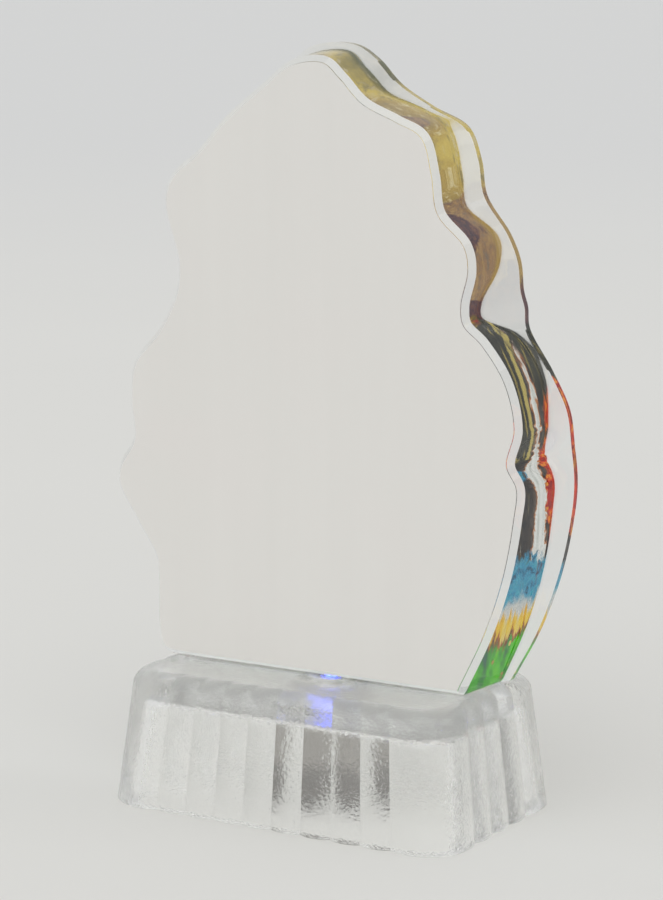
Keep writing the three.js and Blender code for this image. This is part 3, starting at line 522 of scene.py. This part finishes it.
def moulded(name, dark, light, roughness, speckle=2.2):
    """Moulded opaque plastic with a fine spark texture."""
    material, f = finish(name)
    place = f.place()
    spark = f.grain(place, speckle, 3, 0.6)
    cloud = f.grain(place, 0.15, 2)
    colour = f.mix(cloud * 0.6 + spark * 0.4, (*dark, 1), (*light, 1))
    f.show(f.surface(
        Base_Color=colour,
        Roughness=roughness + (spark - 0.5) * 0.2,
        Normal=f.bump(spark, 0.2, 0.00005),
    ))
    return material


def foam_tape():
    material, f = finish("foam_tape")
    place = f.place()
    cells = f.node("ShaderNodeTexVoronoi", {}, {"Vector": place, "Scale": 3})
    colour = f.mix(cells, (0.62, 0.61, 0.57, 1), (0.86, 0.85, 0.82, 1))
    f.show(f.surface(
        Base_Color=colour,
        Roughness=cells * 0.1 + 0.8,
        Normal=f.bump(cells, 0.6, 0.0001),
    ))
    return material


def solder_resist():
    material, f = finish("solder_resist")
    place = f.place()
    x, y, _ = f.axes(place)
    weave = f.grain(f.stretched(place, 1, 4, 1), 1.2, 2)
    lanes = maths("FRACT", x * 0.3 + maths("SINE", y * 0.8) * 0.2)
    tracks = f.rise(maths("ABSOLUTE", lanes - 0.5), 0.12, 0.08)
    colour = f.mix(weave, (0.012, 0.09, 0.03, 1), (0.03, 0.16, 0.06, 1))
    colour = f.mix(tracks * 0.6, colour, (0.06, 0.28, 0.1, 1))
    f.show(f.surface(
        Base_Color=colour,
        Roughness=0.3 + weave * 0.15,
        Normal=f.bump(tracks, 0.3, 0.00005),
    ))
    return material


def bright_metal(name, dark, light, roughness, stretch):
    """Plated sheet or wire with fine rolling marks."""
    material, f = finish(name)
    place = f.place()
    marks = f.grain(f.stretched(place, *stretch), 2, 3, 0.6)
    colour = f.mix(marks, (*dark, 1), (*light, 1))
    f.show(f.surface(
        Base_Color=colour,
        Metallic=1,
        Roughness=roughness + marks * 0.15,
        Normal=f.bump(marks, 0.06, 0.00005),
    ))
    return material


def lit_epoxy():
    material, f = finish("lit_epoxy")
    _, _, z = f.axes(f.place())
    core = f.rise(z, BULB_DARK_Z, BULB_LIT_Z)
    colour = f.mix(core, (0.05, 0.06, 0.13, 1), (0.3, 0.4, 0.9, 1))
    light = f.mix(core, (0.0002, 0.0004, 0.004, 1), (0.05, 0.09, 1, 1))
    f.show(f.surface(
        Base_Color=colour,
        Roughness=0.1 + core * 0.05,
        Emission_Color=light,
        Emission_Strength=BULB_STRENGTH,
    ))
    return material


def resistor_coat():
    material, f = finish("resistor_coat")
    place = f.place()
    x, _, _ = f.axes(place)
    mottle = f.grain(place, 2, 3)
    colour = f.mix(mottle, (0.5, 0.36, 0.2, 1), (0.62, 0.47, 0.28, 1))
    bands = (
        (-0.9, (0.22, 0.07, 0.02, 1)),
        (-0.35, (0.02, 0.02, 0.02, 1)),
        (0.2, (0.45, 0.02, 0.02, 1)),
        (1, (0.5, 0.33, 0.08, 1)),
    )
    for middle, band in bands:
        off = maths("ABSOLUTE", x - middle)
        colour = f.mix(f.rise(off, 0.2, 0.15), colour, band)
    f.show(f.surface(Base_Color=colour, Roughness=0.35 + mottle * 0.1))
    return material


def insulation(name, dark, light):
    material, f = finish(name)
    scuffs = f.grain(f.place(), 1.4, 3, 0.6)
    f.show(f.surface(
        Base_Color=f.mix(scuffs, (*dark, 1), (*light, 1)),
        Roughness=0.4 + scuffs * 0.15,
    ))
    return material


def piece(name, points, faces, material, stands_for, sharp=PLAIN_SHARP_ANGLE):
    """A new piece from points in millimetres, in the place of a CAD node."""
    mesh = bpy.data.meshes.new(name)
    mesh.from_pydata([Vector(point) * MM for point in points], [], faces)
    mesh.update()
    made = bpy.data.objects.new(name, mesh)
    bpy.context.scene.collection.objects.link(made)
    mesh.shade_smooth()
    mesh.set_sharp_from_angle(angle=math.radians(sharp))
    mesh.materials.append(material)
    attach(made, "root")
    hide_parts(stands_for)
    return made


def skin(rings):
    """Points and faces of a closed skin over a stack of equal rings, each end closed flat."""
    count = len(rings[0])
    points = [point for ring in rings for point in ring]
    faces = []
    for ring in range(len(rings) - 1):
        for i in range(count):
            here, after = ring * count + i, ring * count + (i + 1) % count
            faces.append((here, after, after + count, here + count))
    last = (len(rings) - 1) * count
    faces.append(tuple(reversed(range(count))))
    faces.append(tuple(range(last, last + count)))
    return points, faces


def fluted_side(length, flat, flutes, face):
    pitch = (length - 2 * (BASE_CORNER_RADIUS + flat)) / (flutes + 1)
    side = []
    for step in range(-FLUTE_STEPS // 2, int((flutes + 0.5) * FLUTE_STEPS) + 1):
        turn = step / FLUTE_STEPS
        off_crown = 2 * (turn - math.floor(turn)) - 1
        side.append(((turn - flutes / 2) * pitch, face - FLUTE_DEPTH * off_crown**2))
    return side


def base_outline():
    half_x, half_y = BASE_WIDTH / 2, BASE_DEPTH / 2
    long = fluted_side(BASE_WIDTH, LONG_SIDE_FLAT, LONG_SIDE_FLUTES, half_y)
    short = fluted_side(BASE_DEPTH, SHORT_SIDE_FLAT, SHORT_SIDE_FLUTES, half_x)

    def corner(sign_x, sign_y, start):
        for step in range(CORNER_STEPS + 1):
            angle = start + step / CORNER_STEPS * math.pi / 2
            yield (
                sign_x * (half_x - BASE_CORNER_RADIUS) + BASE_CORNER_RADIUS * math.cos(angle),
                sign_y * (half_y - BASE_CORNER_RADIUS) + BASE_CORNER_RADIUS * math.sin(angle),
            )

    return [
        *((out, along) for along, out in short),
        *corner(1, 1, 0),
        *((-along, out) for along, out in long),
        *corner(-1, 1, math.pi / 2),
        *((-out, -along) for along, out in short),
        *corner(-1, -1, math.pi),
        *((along, -out) for along, out in long),
        *corner(1, -1, 1.5 * math.pi),
    ]


def draft_at(z):
    return BASE_DRAFT * z / BASE_HEIGHT


def base_ring(outline, z, inset, share=1):
    scale_x = share * (1 - 2 * (draft_at(z) + inset) / BASE_WIDTH)
    scale_y = share * (1 - 2 * (draft_at(z) + inset) / BASE_DEPTH)
    return [(x * scale_x, y * scale_y, z) for x, y in outline]


def rounded_reach(turn_x, turn_y, half_x, half_y, radius):
    """How far a ray from the middle goes before it leaves a rounded rectangle."""
    reach = min(half_x / max(abs(turn_x), 1e-9), half_y / max(abs(turn_y), 1e-9))
    over_x = abs(turn_x) * reach - (half_x - radius)
    over_y = abs(turn_y) * reach - (half_y - radius)
    if over_x <= 0 or over_y <= 0:
        return reach
    along = abs(turn_x) * (half_x - radius) + abs(turn_y) * (half_y - radius)
    off = (half_x - radius) ** 2 + (half_y - radius) ** 2 - radius**2
    return along + math.sqrt(max(along**2 - off, 0))


def cavity_ring(outline, z, inset):
    half_x = BASE_WIDTH / 2 - BASE_WALL - draft_at(z) - inset
    half_y = BASE_DEPTH / 2 - BASE_WALL - draft_at(z) - inset
    ring = []
    for x, y in outline:
        length = math.hypot(x, y)
        turn = (x / length, y / length)
        reach = rounded_reach(*turn, half_x, half_y, CAVITY_CORNER_RADIUS)
        ring.append((turn[0] * reach, turn[1] * reach, z))
    return ring


def pocket_ring(outline, radius, z):
    return [(x * radius / math.hypot(x, y), y * radius / math.hypot(x, y), z) for x, y in outline]


def between(first, second, share):
    return [tuple(a + (b - a) * share for a, b in zip(p, q)) for p, q in zip(first, second)]


def hammered(ring, depth):
    """The ring with the shallow dents of a hammered mould, moved out or in from the middle line."""
    dented = []
    for x, y, z in ring:
        dent = noise.noise(Vector((x * 0.42, y * 0.42, z * 0.34)))
        dent += 0.5 * noise.noise(Vector((x * 0.9 + 7, y * 0.9, z * 0.6)))
        length = math.hypot(x, y)
        dented.append((x + x / length * dent * depth, y + y / length * dent * depth, z))
    return dented


def base_moulding(material):
    outline = base_outline()
    rings = []
    for share in TOP_SHARES:
        rings.append(base_ring(outline, BASE_HEIGHT, BASE_TOP_RADIUS, share))
    for step in range(TOP_RINGS + 1):
        angle = math.pi / 2 * (1 - step / TOP_RINGS)
        z = BASE_HEIGHT - BASE_TOP_RADIUS * (1 - math.sin(angle))
        inset = BASE_TOP_RADIUS * (1 - math.cos(angle))
        rings.append(hammered(base_ring(outline, z, inset), DENT_DEPTH * step / TOP_RINGS))
    low, high = BASE_FOOT_CHAMFER, BASE_HEIGHT - BASE_TOP_RADIUS
    for step in range(1, SIDE_RINGS + 1):
        z = high + (low - high) * step / SIDE_RINGS
        rings.append(hammered(base_ring(outline, z, 0), DENT_DEPTH))
    for step in range(1, CHAMFER_RINGS + 1):
        angle = step / CHAMFER_RINGS * math.pi / 2
        z = BASE_FOOT_CHAMFER * (1 - math.sin(angle))
        inset = BASE_FOOT_CHAMFER * (1 - math.cos(angle))
        depth = FOOT_DENT_DEPTH * (1 - step / CHAMFER_RINGS)
        rings.append(hammered(base_ring(outline, z, inset), depth))
    rim, wall = rings[-1], cavity_ring(outline, 0, 0)
    rings += [between(rim, wall, share) for share in RIM_SHARES]
    roof = CEILING_Z - CAVITY_TOP_RADIUS
    for step in range(1, CAVITY_RINGS + 1):
        z = roof * step / CAVITY_RINGS
        rings.append(hammered(cavity_ring(outline, z, 0), CAVITY_DENT_DEPTH))
    for step in range(1, ROOF_ROUND_RINGS + 1):
        angle = step / ROOF_ROUND_RINGS * math.pi / 2
        z = CEILING_Z - CAVITY_TOP_RADIUS * (1 - math.sin(angle))
        rings.append(cavity_ring(outline, z, CAVITY_TOP_RADIUS * (1 - math.cos(angle))))
    ceiling, mouth = rings[-1], pocket_ring(outline, POCKET_RADIUS, CEILING_Z)
    rings += [between(ceiling, mouth, share) for share in ROOF_SHARES]
    for step in range(1, POCKET_RINGS + 1):
        z = CEILING_Z + (POCKET_TOP_Z - CEILING_Z) * step / POCKET_RINGS
        rings.append(pocket_ring(outline, POCKET_RADIUS, z))
    rings += [pocket_ring(outline, radius, POCKET_TOP_Z) for radius in POCKET_ROOF_RADII]
    points, faces = skin(rings[::-1])
    slot, stands_for = "clear_plastic", "base_shell"
    return piece("base_moulding", points, faces, material, stands_for, BASE_SHARP_ANGLE)


def smooth_curve(marks, count):
    """Points on the centripetal curve through the marks, as many from each mark to the next."""
    curve, steps = [], count // (len(marks) - 1)
    for i in range(len(marks) - 1):
        a = marks[i - 1] if i else marks[0] * 2 - marks[1]
        b, c = marks[i], marks[i + 1]
        d = marks[i + 2] if i + 2 < len(marks) else c * 2 - b
        gaps = [math.sqrt((q - p).length) for p, q in ((a, b), (b, c), (c, d))]
        ease_b = ((b - a) / gaps[0] - (c - a) / (gaps[0] + gaps[1]) + (c - b) / gaps[1]) * gaps[1]
        ease_c = ((c - b) / gaps[1] - (d - b) / (gaps[1] + gaps[2]) + (d - c) / gaps[2]) * gaps[1]
        for step in range(steps):
            t = step / steps
            cube = (b * 2 - c * 2 + ease_b + ease_c) * t**3
            square = (c * 3 - b * 3 - ease_b * 2 - ease_c) * t**2
            curve.append(cube + square + ease_b * t + b)
    return [*curve, marks[-1]]


def plaque_outline(marks):
    """An outline of the plaque as (x, z, outward x, outward z, steep share of the wall)."""
    scale = PICTURE_HEIGHT / 100
    marks = [Vector((x * scale, z * scale, steep / 100)) for x, z, steep in marks]
    wavy = smooth_curve(marks, SIDE_STEPS)
    foot = [wavy[-1].lerp(wavy[0], step / FOOT_STEPS) for step in range(1, FOOT_STEPS)]
    spots = wavy + foot
    outline = []
    for i, spot in enumerate(spots):
        reach = SLOPE_REACH if SLOPE_REACH < i < SIDE_STEPS - SLOPE_REACH else 1
        run = (spots[(i + reach) % len(spots)] - spots[i - reach]).to_2d().normalized()
        outline.append((spot.x, PICTURE_FOOT_Z + spot.y, run.y, -run.x, spot.z))
    return outline


EDGE = plaque_outline([(*row[:2], row[4]) for row in PICTURE_EDGE])
FRONT_EDGE = plaque_outline([row[2:] for row in PICTURE_EDGE])


def front_face_y(z):
    return PLAQUE_REAR_Y - PLAQUE_FOOT_THICKNESS + PLAQUE_TAPER * (z - PLAQUE_FOOT_Z)


def plaque_ring(outline, outset, depth):
    ring = []
    for x, z, out_x, out_z, _ in outline:
        height = max(PLAQUE_FOOT_Z, z + out_z * outset)
        ring.append(Vector((x + out_x * outset, depth(height), height)))
    return ring


def wall_rings(behind, rim, count):
    """The side wall: steep at first, then splayed towards the rim, with a soft crease between."""
    walls = [[] for _ in range(count)]
    for near, far, mark in zip(behind, rim, EDGE):
        deep = near.y - far.y
        away = math.hypot(far.x - near.x, far.z - near.z)
        steep = deep * mark[4]
        part = min(WALL_DRAFT * steep / max(away, 0.01), mark[4])
        soft = min(CREASE_SOFTNESS, steep / 2, (deep - steep) / 2)
        for ring in range(count):
            down = deep * (ring + 1) / (count + 1)
            first = part * down / steep
            second = part + (1 - part) * (down - steep) / (deep - steep)
            over = down - steep
            if over < -soft:
                share = first
            elif over > soft:
                share = second
            else:
                bend = (1 - part) / (deep - steep) - part / steep
                share = first + bend * (over + soft) ** 2 / (4 * soft)
            spot = near.lerp(far, share)
            walls[ring].append(Vector((spot.x, near.y - down, spot.z)))
    return walls


def plaque_glass(material):
    rings = []
    for share in (0, 0.5, 1):
        bevel = REAR_BEVEL * share
        rings.append(plaque_ring(EDGE, bevel, lambda z: PLAQUE_REAR_Y - bevel))
    rim = plaque_ring(FRONT_EDGE, 0, lambda z: front_face_y(z) + RIM_DEPTH)
    rings += wall_rings(rings[-1], rim, WALL_RINGS)
    rings.append(rim)
    rings.append(plaque_ring(FRONT_EDGE, 0, lambda z: front_face_y(z) + FRONT_CHAMFER))
    rings.append(plaque_ring(FRONT_EDGE, -FRONT_CHAMFER, front_face_y))
    points, faces = skin(rings)
    return piece("plaque_glass", points, faces, material, "glass_plaque")


def rear_sheet(name, sizes, material, stands_for):
    rear_y, front_y, inset = sizes
    rings = [plaque_ring(EDGE, -inset, lambda z: y) for y in (rear_y, front_y)]
    points, faces = skin(rings)
    return piece(name, points, faces, material, stands_for)


def dress(material, *nodes):
    for node in nodes:
        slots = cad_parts[node].data.materials
        slots.clear()
        slots.append(material)


def place_camera():
    """The photograph's viewpoint: from behind the picture, a little above."""
    turn, tilt = math.radians(CAMERA_TURN), math.radians(CAMERA_TILT)
    level = math.cos(tilt)
    back = Vector((math.sin(turn) * level, -math.cos(turn) * level, math.sin(tilt)))
    right = Vector((math.cos(turn), math.sin(turn), 0))
    up = back.cross(right)
    spot = Vector((0, 0, CAMERA_TARGET_Z)) * MM + back * CAMERA_DISTANCE * MM
    data = bpy.data.cameras.new("viewpoint")
    data.sensor_fit = "VERTICAL"
    data.sensor_height = CAMERA_SENSOR
    data.lens = CAMERA_LENS
    data.clip_start = 0.01
    camera = bpy.data.objects.new("viewpoint", data)
    camera.matrix_world = Matrix.Translation(spot) @ Matrix((right, up, back)).transposed().to_4x4()
    bpy.context.scene.collection.objects.link(camera)
    bpy.context.scene.camera = camera
    bpy.context.scene.view_settings.view_transform = "Standard"


def pale_floor_with_painted_light():
    material, f = finish("pale_floor_with_painted_light")
    place = f.place()
    x, y, _ = f.axes(place)
    # Painted pool of light: the floor's colour is lighter near the frame and darker from 300 to
    # 2400 mm away
    away = f.rise((x**2 + y**2) ** 0.5, 300, 2400)
    near = f.mix(f.grain(place, 0.004, 3), (0.69, 0.684, 0.664, 1), (0.71, 0.704, 0.684, 1))
    tone = f.mix(away, near, (0.655, 0.655, 0.655, 1))
    f.show(f.surface(Base_Color=tone, Roughness=0.9, Specular_IOR_Level=0.1))
    points, count = [(0, 0, 0)], FLOOR_SIDES
    for radius in FLOOR_RING_RADII:
        for step in range(count):
            angle = step / count * 2 * math.pi
            points.append((radius * math.cos(angle), radius * math.sin(angle), 0))
    faces = [(0, 1 + i, 1 + (i + 1) % count) for i in range(count)]
    for ring in range(len(FLOOR_RING_RADII) - 1):
        for i in range(count):
            here, after = 1 + ring * count + i, 1 + ring * count + (i + 1) % count
            faces.append((here, here + count, after + count, after))
    mesh = bpy.data.meshes.new("pale_floor_with_painted_light")
    mesh.from_pydata(points, [], faces)
    mesh.materials.append(material)
    floor = bpy.data.objects.new("pale_floor_with_painted_light", mesh)
    floor.location.z = -FLOOR_GAP * MM
    bpy.context.scene.collection.objects.link(floor)


def studio_light():
    world = bpy.data.worlds.new("studio_air")
    world.use_nodes = True
    bpy.context.scene.world = world
    f = Finish(world.node_tree)
    x, y, z = f.axes(f.node("ShaderNodeTexCoord", out="Generated"))
    tent = f.rise(z, -0.2, 0.9) * AIR_FROM_ABOVE + AIR_LEVEL
    seen = f.node("ShaderNodeLightPath", out="Is Camera Ray")
    level = tent + seen * (AIR_SEEN - tent)
    air = f.node("ShaderNodeBackground", {}, {"Color": (0.99, 1, 0.995, 1), "Strength": level})
    f.node("ShaderNodeOutputWorld", {}, {"Surface": air}, out=())

    for name, toward, strength, width in SOFTBOXES:
        data = bpy.data.lights.new(name, "SUN")
        data.energy = strength
        data.angle = math.radians(width)
        lamp = bpy.data.objects.new(name, data)
        lamp.rotation_euler = Vector(toward).to_track_quat("Z", "Y").to_euler()
        bpy.context.scene.collection.objects.link(lamp)


place_camera()
studio_light()
pale_floor_with_painted_light()

plaque_glass(polished_glass())
rear_sheet("picture_sheet", PICTURE_SHEET, printed_picture(), "picture_print")
rear_sheet("backing_sheet", BACKING_SHEET, white_vinyl(), "backing_film")
base_moulding(hammered_plastic())

dress(cured_glue(), "plaque_glue")
dress(foam_tape(), "mounting_tape")
dress(moulded("grey_case", (0.19, 0.172, 0.15), (0.28, 0.262, 0.235), 0.45), "unit_case_top")
dark_case = moulded("dark_case", (0.04, 0.031, 0.024), (0.085, 0.07, 0.056), 0.5)
dress(dark_case, "battery_box", "battery_door")
dress(solder_resist(), "circuit_board")
dress(lit_epoxy(), "led_bulb")
tinned = bright_metal("tinned_steel", (0.5, 0.5, 0.5), (0.72, 0.72, 0.71), 0.22, (1, 1, 0.2))
dress(tinned, "led_anode_lead", "led_cathode_lead", "positive_contact", "negative_spring")
dress(tinned, "switch_body")
cell_can = bright_metal("cell_steel", (0.6, 0.59, 0.57), (0.78, 0.77, 0.75), 0.16, (0.3, 1, 1))
dress(cell_can, "button_cell_1", "button_cell_2", "button_cell_3")
dress(resistor_coat(), "resistor")
dress(moulded("black_plastic", (0.008, 0.008, 0.009), (0.022, 0.022, 0.024), 0.4), "switch_knob")
dress(insulation("red_wire", (0.4, 0.012, 0.01), (0.55, 0.03, 0.02)), "switch_wire_red")
dress(insulation("black_wire", (0.012, 0.012, 0.012), (0.03, 0.03, 0.03)), "switch_wire_black")
